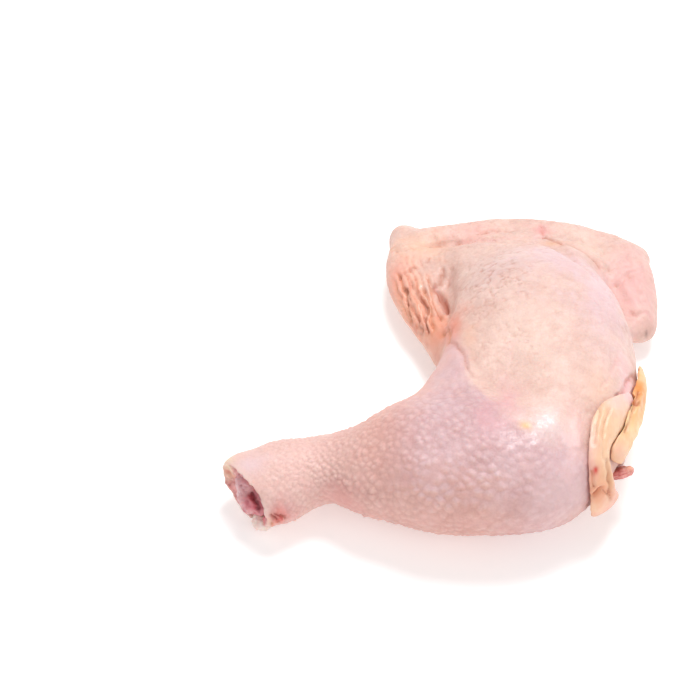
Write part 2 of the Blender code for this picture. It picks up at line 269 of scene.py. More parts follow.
class Value:
    """A number that varies over a surface: a socket, with Python's operators adding Math nodes."""

    def __init__(self, painter: Painter, socket: bpy.types.NodeSocket) -> None:
        """Wraps one output socket of the painter's nodes."""
        self.painter = painter
        self.socket = socket

    def _math(self, operation: str, *values: Value | float) -> Value:
        """Adds one Math node."""
        sockets = dict(enumerate(values))
        return Value(self.painter, self.painter.node("ShaderNodeMath", {"operation": operation}, sockets)[0])

    def __add__(self, other: Value | float) -> Value:
        """The sum."""
        return self._math("ADD", self, other)

    __radd__ = __add__

    def __sub__(self, other: Value | float) -> Value:
        """The difference."""
        return self._math("SUBTRACT", self, other)

    def __rsub__(self, other: float) -> Value:
        """The difference from a plain number."""
        return self._math("SUBTRACT", other, self)

    def __mul__(self, other: Value | float) -> Value:
        """The product."""
        return self._math("MULTIPLY", self, other)

    __rmul__ = __mul__

    def clipped(self) -> Value:
        """The value, kept from 0 to 1."""
        return self._math("MINIMUM", self._math("MAXIMUM", self, 0.0), 1.0)


class Painter:
    """Builds one material from nodes."""

    def __init__(self, name: str) -> None:
        """Starts a material with a bare Principled shader."""
        self.material = bpy.data.materials.new(name)
        self.material.use_nodes = True
        self.tree = self.material.node_tree
        self.shader = self.tree.nodes["Principled BSDF"]

    def node(self, kind: str, settings: dict, sockets: dict) -> bpy.types.bpy_prop_collection:
        """Adds a node.

        Args:
            kind: the node's type.
            settings: its own settings, which are set first.
            sockets: the value or link of each input, by its name or number.

        Returns:
            The node's outputs.
        """
        node = self.tree.nodes.new(kind)
        for key, value in settings.items():
            setattr(node, key, value)
        for key, value in sockets.items():
            self.feed(node.inputs[key], value)
        return node.outputs

    def feed(self, socket: bpy.types.NodeSocket, value: object) -> None:
        """Links a socket, or sets it where the value is a plain one."""
        if isinstance(value, Value):
            value = value.socket
        if isinstance(value, bpy.types.NodeSocket):
            self.tree.links.new(value, socket)
        elif socket.type == "RGBA" and len(value) == 3:
            socket.default_value = (*value, 1.0)
        else:
            socket.default_value = value

    def attribute(self, name: Mark) -> Value:
        """A number kept on the mesh."""
        return Value(self, self.node("ShaderNodeAttribute", {"attribute_name": name.value}, {})["Fac"])

    def place(self) -> bpy.types.NodeSocket:
        """The place on the object, in metres."""
        return self.node("ShaderNodeTexCoord", {}, {})["Object"]

    def stretched(self, scale: Triple) -> bpy.types.NodeSocket:
        """The place on the object, scaled on each axis, so that a pattern runs one way."""
        return self.node("ShaderNodeMapping", {}, {"Vector": self.place(), "Scale": scale})["Vector"]

    def grain(self, size: float, detail: float = 3.0, where: bpy.types.NodeSocket | None = None) -> Value:
        """Noise from 0 to 1 whose lumps have this size in millimetres."""
        sockets = {"Vector": where or self.place(), "Scale": 1 / (size * MM), "Detail": detail}
        return Value(self, self.node("ShaderNodeTexNoise", {}, sockets)["Fac"])

    def between(self, value: Value, low: float, high: float) -> Value:
        """0 where the value is at low, 1 where it is at high, smooth between and level outside."""
        sockets = {"Value": value, "From Min": low, "From Max": high}
        settings = {"interpolation_type": "SMOOTHSTEP"}
        return Value(self, self.node("ShaderNodeMapRange", settings, sockets)["Result"])

    def mix(
        self, share: Value | float, first: object, second: object, blend: str = "MIX"
    ) -> bpy.types.NodeSocket:
        """A colour from the first to the second, or to a blend of both, by a share from 0 to 1."""
        settings = {"data_type": "RGBA", "blend_type": blend}
        return self.node("ShaderNodeMix", settings, {0: share, 6: first, 7: second})[2]

    def tinted(self, colour: object) -> bpy.types.NodeSocket:
        """A colour with the one that is kept on the mesh laid over it."""
        kept = self.node("ShaderNodeAttribute", {"attribute_name": TINT}, {})
        return self.mix(Value(self, kept["Alpha"]), colour, kept["Color"])

    def shaded_in_creases(self, colour: object, shade_colour: object) -> bpy.types.NodeSocket:
        """A colour that turns into a darker one in the mesh's creases, as painted shade."""
        return self.mix((self.attribute(Mark.CREASE) * 0.8).clipped(), colour, shade_colour)

    def bump(self, height: Value, depth: float) -> bpy.types.NodeSocket:
        """A normal for fine relief, whose heights from 0 to 1 stand for this depth in millimetres."""
        return self.node("ShaderNodeBump", {}, {"Height": height, "Distance": depth * MM})["Normal"]

    def finish(self, **sockets: object) -> bpy.types.Material:
        """Feeds the Principled shader.

        Args:
            **sockets: its inputs, with underscores for the spaces in their names.

        Returns:
            The material.
        """
        for key, value in sockets.items():
            self.feed(self.shader.inputs[key.replace("_", " ")], value)
        return self.material


class Mark(Enum):
    """The numbers that a mesh keeps at each point for its material to read."""

    CALF = "calf"
    SHANK = "shank"
    BELLY = "belly"
    # How deep a point lies in a crease, which the material paints as shade
    CREASE = "crease_shade"
    PORE = "pore"
    CUT = "cut"
    WET = "wet"


@dataclass(frozen=True)
class Spot:
    """A soft ragged spot, round a place: its half sizes, its colour from 0 to 255 and how strong it is."""

    place: Triple
    reach: Triple
    colour: Triple
    strength: float = 0.8


# Colours of several spots and folds, as picked on a screen, from 0 to 255
SALMON = (240, 168, 138)
ORANGE = (222, 138, 92)
ROSE = (232, 168, 168)
BLUSH = (234, 188, 186)
LAVENDER = (228, 198, 206)
RED = (168, 52, 48)
# Painted shade at the bottom of folds
BROWN_SHADE = (184, 106, 80)
CREAM = (242, 216, 190)
YELLOW = (240, 192, 120)
# Deep red of the cut's cavity and slits, partly the flesh's own, partly painted shade
DEEP_RED_AND_SHADE = (112, 26, 34)


def lay(colours: np.ndarray, share: np.ndarray, colour: Triple) -> None:
    """Lays a colour over others.

    Args:
        colours: one row a point, of red, green, blue and how opaque it is so far. It is changed in place.
        share: how opaque the new colour is at each point.
        colour: the new colour, as picked on a screen, from 0 to 255.
    """
    under = colours[:, 3] * (1 - share)
    total = share + under
    mixed = share[:, None] * np.array(srgb(*colour)) + under[:, None] * colours[:, :3]
    colours[:, :3] = mixed / np.maximum(total, 1e-6)[:, None]
    colours[:, 3] = total


def spotted(points: np.ndarray, spots: tuple[Spot, ...], ragged: float = 1.0) -> np.ndarray:
    """Lays spots over nothing.

    Args:
        points: one row a point.
        spots: the spots, from the lowest to the highest.
        ragged: how uneven their edges are.

    Returns:
        The colours, as lay takes them.
    """
    colours = np.zeros((len(points), 4))
    uneven = 1 + ragged * (0.45 * cloud(points, 6.0, 51) + 0.3 * cloud(points, 2.2, 52))
    for spot in spots:
        away = np.linalg.norm((points - spot.place) / spot.reach, axis=1) * uneven
        lay(colours, spot.strength * np.exp(-(away**2)), spot.colour)
    return colours


def covered(points: np.ndarray, *spots: Spot) -> np.ndarray:
    """How strongly spots cover each point, from 0 to 1, whatever their colour is."""
    return spotted(points, spots)[:, 3]


@dataclass(frozen=True)
class SkinFinish:
    """Raw poultry skin: cream over the thigh, mauve on the calf's back, pink on its belly and shank."""

    cream: Triple = srgb(234, 202, 190)
    cream_deep: Triple = srgb(218, 180, 168)
    mauve: Triple = srgb(218, 186, 190)
    mauve_deep: Triple = srgb(206, 166, 168)
    belly: Triple = srgb(226, 180, 170)
    belly_deep: Triple = srgb(214, 160, 150)
    shank: Triple = srgb(236, 198, 190)
    # pale: a painted highlight on the pores' tops; web: painted shade in the web between pores, and the fine
    # mottle's darker tone
    pore_highlight: Triple = srgb(240, 216, 212)
    pore_shade_and_mottle: Triple = srgb(178, 118, 114)
    # fold: painted shade in the skin's creases; flesh_deep: the meat's darker tone, and painted shade in the
    # cut's creases
    fold: Triple = srgb(190, 122, 100)
    flesh: Triple = srgb(240, 172, 170)
    flesh_deep: Triple = srgb(160, 50, 60)

    def material(self) -> bpy.types.Material:
        """The skin's material, which reads the marks that the skin's relief leaves on the mesh, and paints
        shade into its creases and highlight and shade over its pores.
        """
        paint = Painter("skin")
        broad = paint.between(paint.grain(13.0, 2.0), 0.36, 0.64)
        patchy = paint.between(paint.grain(4.0, 3.0), 0.36, 0.64)
        fine = paint.grain(0.8, 3.0)
        thigh = paint.mix(broad * 0.55 + patchy * 0.3, self.cream, self.cream_deep)
        back = paint.mix(broad * 0.5 + patchy * 0.3, self.mauve, self.mauve_deep)
        belly = paint.mix(broad * 0.4 + patchy * 0.3, self.belly, self.belly_deep)
        calf = paint.mix(paint.attribute(Mark.BELLY), back, belly)
        colour = paint.mix(paint.attribute(Mark.CALF), thigh, calf)
        colour = paint.mix(paint.attribute(Mark.SHANK) * 0.9, colour, self.shank)
        pores = paint.attribute(Mark.PORE)
        # Painted highlight on the pores' tops and painted shade in the web between them
        colour = paint.mix((pores * 0.3).clipped(), colour, self.pore_highlight)
        colour = paint.mix((pores * -0.36).clipped(), colour, self.pore_shade_and_mottle)
        colour = paint.mix(0.12 * paint.between(fine, 0.3, 0.7), colour, self.pore_shade_and_mottle, "MULTIPLY")
        cut = paint.attribute(Mark.CUT)
        meat = paint.mix(0.6 * paint.between(paint.grain(1.8, 3.0), 0.35, 0.7), self.flesh, self.flesh_deep)
        colour = paint.mix(cut, colour, meat)
        colour = paint.tinted(colour)
        # Painted shade for the creases: brownish on the skin, dark red on the cut
        shade_colour = paint.mix(cut, self.fold, self.flesh_deep)
        colour = paint.shaded_in_creases(colour, shade_colour)
        wet = paint.attribute(Mark.WET)
        return paint.finish(
            Base_Color=colour,
            Roughness=0.44 + 0.14 * patchy - 0.26 * wet - 0.16 * cut,
            Normal=paint.bump(fine * 0.5 + paint.grain(2.0, 3.0) * 0.5, 0.3),
            Coat_Weight=0.5 * wet + 0.12 * cut,
            Subsurface_Weight=0.2,
            Subsurface_Radius=(1.0, 0.4, 0.25),
            Subsurface_Scale=1.5 * MM,
            Specular_IOR_Level=0.4,
            Coat_Roughness=0.12,
        )


@dataclass(frozen=True)
class TissueFinish:
    """A wet tissue of two tones, streaked along one way."""

    name: str
    light: Triple
    deep: Triple
    shade: Triple
    streak: Triple = (1.0, 1.0, 1.0)
    grain: float = 2.5
    roughness: float = 0.34
    depth: float = 0.25

    def material(self) -> bpy.types.Material:
        """The tissue's material, which reads where it is tinted and where painted shade darkens its creases.
        """
        paint = Painter(self.name)
        where = paint.stretched(self.streak)
        streaks = paint.between(paint.grain(self.grain, 4.0, where), 0.32, 0.68)
        colour = paint.mix(streaks, self.light, self.deep)
        colour = paint.tinted(colour)
        colour = paint.shaded_in_creases(colour, self.shade)
        return paint.finish(
            Base_Color=colour,
            Roughness=self.roughness + 0.15 * streaks,
            Normal=paint.bump(paint.grain(self.grain * 0.4, 3.0, where), self.depth),
            Subsurface_Weight=0.25,
            Subsurface_Radius=(1.0, 0.5, 0.3),
            Subsurface_Scale=1.5 * MM,
            Coat_Weight=0.15,
            Coat_Roughness=0.2,
        )


def deselect() -> None:
    """Leaves nothing selected, because operators act on all that is."""
    bpy.ops.object.select_all(action="DESELECT")


def pick(obj: bpy.types.Object) -> None:
    """Makes the object the only selected one, and the active one."""
    deselect()
    obj.select_set(True)
    bpy.context.view_layer.objects.active = obj


def fresh_copy(node: bpy.types.Object, name: str) -> bpy.types.Object:
    """A copy of a solid as one merged mesh.

    Args:
        node: the solid's object.
        name: the copy's name.

    Returns:
        The copy, at the origin and with no material.
    """
    obj = bpy.data.objects.new(name, node.data.copy())
    bpy.context.scene.collection.objects.link(obj)
    obj.data.name = name
    obj.data.materials.clear()
    pick(obj)
    bpy.ops.object.mode_set(mode="EDIT")
    bpy.ops.mesh.select_all(action="SELECT")
    bpy.ops.mesh.remove_doubles(threshold=0.005 * MM)
    bpy.ops.object.mode_set(mode="OBJECT")
    return obj


def remesh(obj: bpy.types.Object, grid: float) -> None:
    """Gives the object an even mesh of this spacing, in millimetres."""
    pick(obj)
    modifier = obj.modifiers.new("Even mesh", "REMESH")
    modifier.mode = "VOXEL"
    modifier.voxel_size = grid * MM
    modifier.use_smooth_shade = True
    bpy.ops.object.modifier_apply(modifier=modifier.name)


def thin_out(obj: bpy.types.Object, triangles: int) -> None:
    """Takes faces away where the mesh is flattest, until no more than this many triangles are left."""
    obj.data.calc_loop_triangles()
    share = triangles / len(obj.data.loop_triangles)
    if share < 1:
        pick(obj)
        modifier = obj.modifiers.new("Thin out", "DECIMATE")
        modifier.ratio = share
        bpy.ops.object.modifier_apply(modifier=modifier.name)


def place(obj: bpy.types.Object, material: bpy.types.Material, slot: str, *nodes: str) -> None:
    """Dresses a finished piece and lets it ride on the leg.

    Args:
        obj: the piece.
        material: its finish.
        slot: not used.
        *nodes: the solids that it stands for.
    """
    obj.data.materials.clear()
    obj.data.materials.append(material)
    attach(obj, BODY)
    if nodes:
        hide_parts(*nodes)
    log.info("%s: %d faces", obj.name, len(obj.data.polygons))


@dataclass(frozen=True)
class Fold:
    """A fold along a path on a plane, with a lip beside it and the colour at its bottom: partly the skin's
    own, partly painted shade.
    """

    path: Rows
    width: float
    depth: float
    lip: float = 0.0
    stain_and_shade: Triple | None = None
    strength: float = 0.7
    wander: float = 0.5

    def press(self, relief: Relief, colours: np.ndarray, plane: tuple[Triple, Triple] = PLAN) -> None:
        """Presses the fold in, where the surface looks towards the plane, and colours its bottom, partly as a
        stain, partly as painted shade.

        Args:
            relief: the mesh.
            colours: the tint at each point, which is changed.
            plane: the plane's two axes.
        """
        line = spline(self.path)
        reach = 4 * self.width
        laid = relief.points @ np.array(plane).T
        near = ((laid > line.min(axis=0) - reach) & (laid < line.max(axis=0) + reach)).all(axis=1)
        some = relief.points[near]
        side = beside(laid[near] + self.wander * cloud(some, 3.0, 15)[:, None], line)
        distance = side.distance / self.width
        ends = rise(side.share, 0.0, 0.15) * (1 - rise(side.share, 0.85, 1.0))
        towards = relief.normals[near] @ np.cross(*plane)
        fade = ends * rise(towards, 0.0, 0.4) * (0.8 + 0.4 * cloud(some, 4.0, 16))
        lift = np.zeros(len(relief.points))
        lip = side.left * distance**2 * np.exp(-0.5 * distance**2)
        lift[near] = (self.lip * lip - self.depth * np.exp(-(distance**2))) * fade
        # The colour at the fold's bottom: partly the skin's own, partly painted shade
        if self.stain_and_shade:
            share = np.zeros(len(relief.points))
            share[near] = np.clip(self.strength * np.exp(-((distance / 0.75) ** 2)) * fade, 0, 1)
            lay(colours, share, self.stain_and_shade)
        relief.lift(lift)


@dataclass
class Cells:
    """How points lie among the points of a shaken lattice, whose spacing is one."""

    nearest: np.ndarray
    second: np.ndarray
    lot: np.ndarray


def cells(places: np.ndarray, shake: float, seed: int) -> Cells:
    """Measures places on a plane against a shaken lattice.

    Args:
        places: one row a place.
        shake: how far a lattice point may stray from its cell's middle, across all its range.
        seed: which lattice it is.

    Returns:
        The distance to the nearest lattice point and to the next one, and a random share from 0 to 1 that
        belongs to the nearest.
    """
    wide, long = 61, 67
    draw = np.random.default_rng(seed).random((wide, long, 3))
    base = np.floor(places).astype(int)
    nearest = np.full(len(places), 9.0)
    second = nearest.copy()
    lot = np.zeros(len(places))
    for across in (-1, 0, 1):
        for along in (-1, 0, 1):
            cell = base + (across, along)
            drawn = draw[cell[:, 0] % wide, cell[:, 1] % long]
            away = np.linalg.norm(cell + 0.5 + shake * (drawn[:, :2] - 0.5) - places, axis=1)
            closer = away < nearest
            second = np.where(closer, nearest, np.minimum(second, away))
            lot = np.where(closer, drawn[:, 2], lot)
            nearest = np.minimum(nearest, away)
    return Cells(nearest, second, lot)


@dataclass(frozen=True)
class Cut:
    """The way that points lie in the cut at the hock: across it, up it and out of it, in millimetres."""

    across: np.ndarray
    up: np.ndarray
    out: np.ndarray

    @classmethod
    def of(cls, points: np.ndarray) -> Cut:
        """Measures points against the cut."""
        offset = points - CUT_MIDDLE
        return cls(offset @ CUT_ACROSS, offset @ CUT_UP, offset @ CUT_FACING)


# Folds of the skin, drawn on the plan; the colour at a fold's bottom is partly the skin's own and partly
# painted shade, the brown ones shade
SKIN_FOLDS: tuple[Fold, ...] = (
    Fold(((-1.6, 61.5), (-0.5, 58.3), (0.6, 56.2), (1.7, 53), (2.7, 49), (3.4, 44)), 1.1, 1.8, 0.8, RED, 0.9),
    Fold(((-15.2, 68), (-14.6, 65), (-12.9, 58.5), (-11.5, 50), (-9.7, 43)), 0.9, 1.2, 0.7, ORANGE, 0.8),
    Fold(
        ((-10.4, 66), (-9.1, 57.9), (-6.6, 52.8), (-4.6, 47.7), (-5.5, 42), (-3.5, 34.5)),
        1,
        1.7,
        0.9,
        BROWN_SHADE,
        0.8,
    ),
    Fold(((-12.8, 62), (-11.2, 55), (-9, 48), (-7.4, 42), (-5.8, 36.5)), 0.9, 1.3, 0.8, BROWN_SHADE, 0.7),
    Fold(((-6.6, 60), (-5, 55), (-2.8, 48), (-3, 42.9), (-1.8, 35)), 1, 1.5, 0.8, ORANGE, 0.9),
    Fold(((-4.5, 66), (-2.6, 59), (-1.6, 52), (0.4, 46), (0.8, 40)), 0.9, 1.3, 0.6, ORANGE, 0.7),
    Fold(((-17, 66), (-15.4, 60), (-13.6, 53.5), (-11, 46.5)), 0.8, 1, 0.5, ORANGE, 0.6),
    Fold(((-15, 64), (-13, 66.5), (-10.5, 67.8), (-8.6, 70)), 0.8, 0.9, 0.4, BROWN_SHADE, 0.5),
    Fold(((-4.6, 71), (-3.4, 73.5), (-2.4, 75.5)), 0.8, 0.8, 0.3, BROWN_SHADE, 0.5),
    Fold(((2.4, 69), (2, 66.2), (1.5, 62.3), (-0.5, 58.3)), 0.9, 0.9, 0.4, BROWN_SHADE, 0.4),
    Fold(((-17, 80.5), (-14, 79.4), (-8.4, 81.3), (-1.8, 83.5), (5.2, 84.2)), 1.2, 0.7, 0.6),
    Fold(((5.2, 84.2), (12.7, 83.5), (20.2, 81.7), (27.7, 81.1), (37, 81.5)), 1.1, 0.5, 0.5, ROSE, 0.3),
    Fold(((8, 89), (16, 87.5), (24, 88.5), (31, 87)), 1.1, 0.6, 0.5),
    Fold(((40, 92.5), (40.6, 89), (40.6, 85), (40, 80.5)), 0.9, 0.8, 0.3, ROSE, 0.6),
    Fold(((39.6, 82.4), (42.9, 80.6), (45.4, 78.6), (48.6, 77)), 0.8, 0.9, 0.6, BROWN_SHADE, 0.7),
    Fold(((47.6, 79.5), (51.1, 77.6), (55.8, 74), (60, 70.5), (62.5, 66)), 1.2, 0.9, 0.9, BROWN_SHADE, 0.25),
    Fold(((47.6, 75.5), (49.5, 69.5), (51.5, 61.5), (53.8, 55), (56.6, 50.3), (58.1, 45.6)), 1.3, 0.6, 0.5),
    Fold(((1.6, 27), (3.4, 21), (5.4, 16.5), (7, 12), (8.8, 4), (11.4, -3)), 0.8, 0.6, 0.5, BROWN_SHADE, 0.35),
    Fold(((0, 36), (2.2, 31), (3, 26), (2, 21)), 1, 1, 0.6, ORANGE, 0.6),
    Fold(((63, 66), (66.5, 70), (70, 74.5), (73, 76)), 1.3, 0.6, 0.4),
    Fold(((72, 66.5), (73, 61), (76, 55), (78, 50)), 1.3, 0.7, 0.5),
    Fold(((66, 60), (69.5, 62.5), (72, 66), (77.5, 68)), 1.2, 0.5, 0.4),
    Fold(((70.5, 49.5), (74, 47), (77.5, 48.4), (81, 46)), 0.8, 0.5, 0.4, ROSE, 0.3),
    Fold(((70.2, 10), (68.2, 4.7), (65.9, 0.4), (64, -5), (60, -9.6)), 0.9, 1, 0.9, ROSE, 0.6),
    Fold(((63.5, 12), (61.5, 5), (58.5, -2), (55, -8)), 1, 0.4, 0.4, ROSE, 0.3),
    Fold(((45.4, -20), (46.4, -28), (45.6, -35)), 1.6, -0.9),
)
# Folds at the hock, drawn on SLANT: the slit by the bone's end and tears in the rim, their deep reds partly
# the flesh's own and partly painted shade
TORN_FOLDS: tuple[Fold, ...] = (
    Fold(((-68.9, -16.6), (-67.8, -18.6), (-66.4, -21.4), (-65.6, -24.2)), 0.9, 1.6, 0, DEEP_RED_AND_SHADE, 1),
    Fold(((-61.4, -24.1), (-59.6, -25.8), (-57.8, -27.8)), 0.75, 1.1, 1, RED, 0.95),
    Fold(((-59.6, -23.8), (-57.6, -25), (-55.4, -26.2)), 0.75, 0.9, 0.9, RED, 0.8),
    Fold(((-62.8, -25.6), (-61.4, -27.2), (-60.2, -29)), 0.7, 0.9, 0.8, ORANGE, 0.9),
)
# Colours laid round places on the skin, from the lowest to the highest: mostly the skin's own, with a painted
# highlight on the calf and painted shade in the cavity at the hock
SKIN_SPOTS: tuple[Spot, ...] = (
    Spot((22, 56, 36), (17, 20, 14), (216, 188, 184), 0.5),
    Spot((44, 60, 32), (14, 16, 12), LAVENDER, 0.65),
    Spot((58, 36, 30), (10, 26, 16), LAVENDER, 0.75),
    Spot((30, 10, 44), (16, 18, 12), (240, 212, 198), 0.4),
    Spot((73, 62, 16), (11, 20, 9), BLUSH, 0.8),
    Spot((74, 64, 16), (7, 9, 8), (222, 170, 164), 0.5),
    Spot((58, 78, 18), (8, 8, 8), (234, 204, 188), 0.7),
    Spot((-12.5, 54, 16), (8, 22, 9), (242, 178, 154), 0.85),
    Spot((-8, 46, 17), (5, 14, 8), SALMON, 0.7),
    Spot((-15.5, 66, 15), (4, 9, 8), (236, 158, 140), 0.6),
    Spot((-2, 38, 18), (6, 11, 9), SALMON, 0.8),
    Spot((0.5, 33, 20), (5, 6, 8), (226, 146, 120), 0.6),
    Spot((4.6, 28, 31), (4.5, 9, 9), (228, 144, 122), 0.95),
    Spot((9.5, 17, 36), (3, 9, 5), (240, 194, 170), 0.6),
    Spot((-6, 82, 15), (10, 7, 6), (240, 196, 168), 0.6),
    Spot((14, 88, 16), (10, 6, 6), (240, 184, 176), 0.6),
    Spot((40.3, 88, 18), (4, 4.5, 4), (232, 156, 156), 0.6),
    Spot((44, 77.6, 22), (3.4, 1.8, 4), (232, 182, 146), 0.6),
    Spot((0, 12, 30), (8, 12, 12), (222, 184, 184), 0.6),
    Spot((-16, -4, 34), (13, 12, 12), (232, 184, 172), 0.6),
    Spot((22, -12, 44), (5, 13, 6), (226, 168, 176), 0.6),
    Spot((14, -26, 43), (4, 8, 5), (216, 158, 166), 0.5),
    Spot((28, -28, 45), (1.8, 1.7, 3), YELLOW, 0.9),
    # Painted highlight: a pale sheen on the calf's wet top
    Spot((36, -25, 44), (5.5, 6.5, 5), (238, 222, 224), 0.7),
    Spot((45.5, -28, 39), (3.4, 12, 7), (242, 200, 196), 0.8),
    Spot((56, -8, 40), (7, 9, 8), (242, 204, 184), 0.6),
    Spot((65.5, 2, 33), (4, 9, 6), (240, 196, 198), 0.7),
    Spot((-36, -41, 18), (9, 5, 7), (222, 150, 144), 0.6),
    Spot((-56, -45.5, 16), (5, 4, 6), (222, 150, 148), 0.6),
    Spot((-58.8, -46.4, 14), (3, 2.6, 3.4), (222, 118, 104), 0.8),
    Spot((-60.6, -45.8, 16.2), (1.1, 1.2, 1.3), (214, 84, 60), 0.9),
    Spot((-57.2, -46.6, 15.2), (1, 1.2, 1.2), (206, 70, 72), 0.85),
    Spot((-61, -46.6, 12.6), (1.5, 1.6, 2), (240, 190, 170), 0.7),
    Spot((-31, -8, 24), (5, 4, 6), ROSE, 0.6),
    Spot((44, -46, 20), (6, 5, 6), (210, 166, 148), 0.5),
    Spot((38, -44, 30), (16, 12, 12), (232, 202, 206), 0.65),
    Spot((4, -44, 30), (24, 10, 14), (234, 190, 184), 0.4),
    Spot((77.8, 41.2, 12.5), (0.8, 1.1, 2.5), (96, 40, 40), 1),
    Spot((-76, -26, 17.5), (3, 2.6, 5.5), (236, 214, 176), 0.8),
    Spot((-76.4, -25.6, 14.6), (3, 2.2, 1.1), (222, 132, 104), 0.8),
    Spot((-69, -30, 25), (6, 4, 3), (236, 210, 216), 0.6),
    Spot((-66.6, -39.4, 22), (1.8, 1.8, 2), (206, 62, 82), 0.8),
    # Painted shade in the cavity by the bone's end, over its deep red
    Spot((-64.8, -41.6, 18.4), (1.6, 1.8, 3.2), DEEP_RED_AND_SHADE, 0.95),
    Spot((-64, -42.8, 15), (1.3, 1.5, 3.4), DEEP_RED_AND_SHADE, 0.95),
    Spot((-64.6, -42.4, 10.5), (3, 2.6, 2.2), (216, 84, 96), 0.7),
)
# Where the skin is wet
WET_SPOTS: tuple[Spot, ...] = (
    Spot((35, -27, 44), (5.5, 7, 5), CREAM, 0.8),
    Spot((24, -34, 44), (6, 5, 5), CREAM, 0.4),
    Spot((63, -2, 36), (4, 9, 5), CREAM, 0.7),
    Spot((-8, 50, 18), (8, 18, 9), CREAM, 0.5),
)
# Lumps of torn flesh in the cut: how far across, up and out, and their radius
FLESH_LUMPS: Rows = (
    (-11.4, 4, -3.4, 4.2), (-13.2, -1.4, -3, 3.6), (-10, -5.4, -3.4, 3.8), (-6.4, 7, -3.2, 3.6),
    (-0.6, 8.4, -3.6, 3.4), (-4.6, -8, -3.2, 3.4), (9.6, -3.4, -3.4, 3.2), (4.4, 8.6, -4.2, 2.6),
    (12.4, 0.4, -2, 1.9), (12.8, 2.8, -3.2, 1.6), (11.4, -2.6, -1.4, 1.7), (-3, 9.6, -0.6, 1.5),
    (0.8, 10, -0.4, 1.3),
)
# Where the thigh's loose skin lies in waves, and where its finest wrinkles are deepest
LOOSE_SKIN = Spot((-8.5, 50, 16), (8, 22, 11), CREAM, 1)
FINE_WRINKLES = Spot((21, 46, 36), (17, 25, 18), CREAM, 1)


